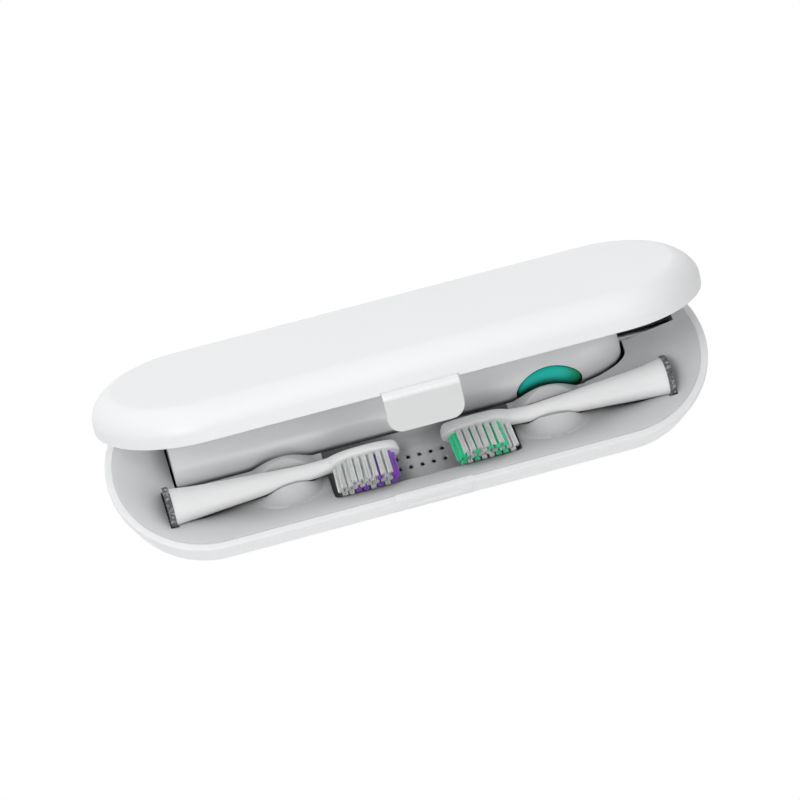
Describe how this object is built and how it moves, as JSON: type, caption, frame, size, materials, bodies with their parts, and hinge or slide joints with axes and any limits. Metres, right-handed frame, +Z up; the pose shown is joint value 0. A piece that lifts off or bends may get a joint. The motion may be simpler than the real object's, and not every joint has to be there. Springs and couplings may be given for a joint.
{
  "type": "electric toothbrush travel case",
  "caption": "Stadium-shaped hinged case with a snap flap and a formed tray that holds a toothbrush handle with a push button and spare brush heads.",
  "frame": {"origin": "centre of the tub's flat underside", "axes": "+X along the case towards the toothbrush's shaft, +Y towards the hinge, +Z up"},
  "size_m": [0.22, 0.0748, 0.0777],
  "materials": {
    "case_white": "semi gloss",
    "tray_grey": "satin",
    "latch_white": "semi gloss",
    "handle_white": "gloss",
    "button_green": "satin",
    "pin_steel": "brushed",
    "seal_rubber": "matt",
    "carrier_grey": "matt",
    "cell_blue": "satin",
    "motor_steel": "satin",
    "bush_brass": "satin",
    "board_green": "satin",
    "switch_black": "matt",
    "coil_copper": "satin",
    "head_white": "gloss",
    "ring_grey": "satin",
    "sleeve_grey": "satin",
    "bristle_white": "satin",
    "bristle_violet": "satin",
    "bristle_green": "satin"
  },
  "bodies": {
    "case": {"case_shell": "case_white", "inner_tray": "tray_grey", "hinge_pins": "pin_steel"},
    "lid": {"lid_shell": "case_white", "latch_pin": "pin_steel"},
    "latch": {"latch_tab": "latch_white"},
    "handle": {"handle_shell": "handle_white", "base_cap": "handle_white", "base_seal": "seal_rubber", "chassis": "carrier_grey", "battery": "cell_blue", "motor": "motor_steel", "shaft_bearing": "bush_brass", "shaft_seal": "seal_rubber", "circuit_board": "board_green", "button_switch": "switch_black", "button_membrane": "seal_rubber", "charging_coil": "coil_copper"},
    "button": {"power_button": "button_green"},
    "shaft": {"drive_shaft": "pin_steel"},
    "left_head": {"left_head_body": "head_white", "left_head_ring": "ring_grey", "left_head_socket": "sleeve_grey", "left_white_bristles": "bristle_white", "left_violet_bristles": "bristle_violet"},
    "right_head": {"right_head_body": "head_white", "right_head_ring": "ring_grey", "right_head_socket": "sleeve_grey", "right_white_bristles": "bristle_white", "right_green_bristles": "bristle_green"}
  },
  "joints": [
    {"name": "lid_hinge", "type": "hinge", "parent": "case", "child": "lid", "pos_m": [0, 0.03535, 0.0263], "axis": [-1, 0, 0], "range_deg": [-40.4, 54]},
    {"name": "latch_pivot", "type": "hinge", "parent": "lid", "child": "latch", "pos_m": [0, -0.0161, 0.07278], "axis": [-1, 0, 0], "range_deg": [-5, 38]},
    {"name": "handle_lift", "type": "slide", "parent": "case", "child": "handle", "axis": [0, 0, 1], "range_m": [0, 0.02]},
    {"name": "button_press", "type": "slide", "parent": "handle", "child": "button", "axis": [0, 0.9613, -0.2756], "range_m": [0, 0.0005], "stiffness_N_per_m": 5000},
    {"name": "shaft_rock", "type": "hinge", "parent": "handle", "child": "shaft", "pos_m": [0.06, 0.0096, 0.0175], "axis": [1, 0, 0], "range_deg": [-4, 4], "stiffness_Nm_per_rad": 0.01},
    {"name": "left_head_lift", "type": "slide", "parent": "case", "child": "left_head", "axis": [0, 0, 1], "range_m": [0, 0.025]},
    {"name": "right_head_lift", "type": "slide", "parent": "case", "child": "right_head", "axis": [0, 0, 1], "range_m": [0, 0.025]}
  ]
}
